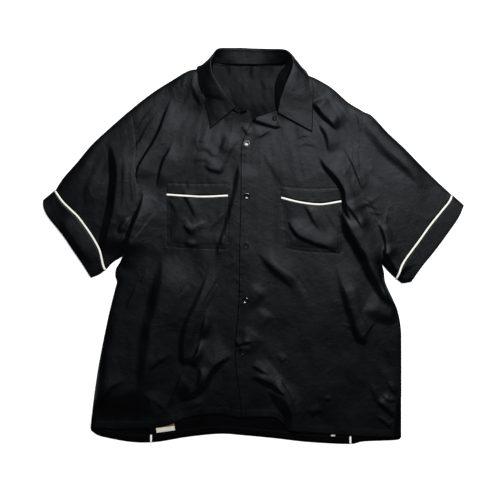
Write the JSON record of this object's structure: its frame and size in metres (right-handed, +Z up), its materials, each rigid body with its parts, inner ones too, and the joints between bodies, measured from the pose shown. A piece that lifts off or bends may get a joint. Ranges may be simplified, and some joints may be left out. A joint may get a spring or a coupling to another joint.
{
  "type": "bowling shirt",
  "caption": "Short-sleeved bowling shirt laid flat: notched collar, buttoned lap, piped chest pockets, piped sleeve bands and back seams.",
  "frame": {"origin": "centre of the laid shirt's outline, on the surface it lies on", "axes": "+X towards the viewer's right, +Y from hem to collar, +Z up from the surface, out of the buttoned front"},
  "size_m": [0.8192, 0.773, 0.0203],
  "materials": {
    "black_cloth": "soft black satin-faced rayon",
    "cream_piping": "cream cotton piping",
    "black_button": "glossy black, four holes",
    "neck_label": "woven black tape, bare",
    "white_label": "off-white woven tape, bare"
  },
  "bodies": {
    "root": {"back_centre": "black_cloth", "back_side_left": "black_cloth", "back_side_right": "black_cloth", "yoke": "black_cloth", "front_left": "black_cloth", "front_right": "black_cloth", "collar": "black_cloth", "pocket_left": "black_cloth", "pocket_right": "black_cloth", "pocket_band_left": "black_cloth", "pocket_band_right": "black_cloth", "sleeve_left": "black_cloth", "sleeve_right": "black_cloth", "cuff_left": "black_cloth", "cuff_right": "black_cloth", "back_piping_left": "cream_piping", "back_piping_right": "cream_piping", "pocket_piping_left": "cream_piping", "pocket_piping_right": "cream_piping", "sleeve_piping_left": "cream_piping", "sleeve_piping_right": "cream_piping", "button_1": "black_button", "button_2": "black_button", "button_3": "black_button", "button_4": "black_button", "button_5": "black_button", "neck_button": "black_button", "neck_label": "neck_label", "care_label": "white_label", "size_tag": "white_label"}
  },
  "joints": []
}
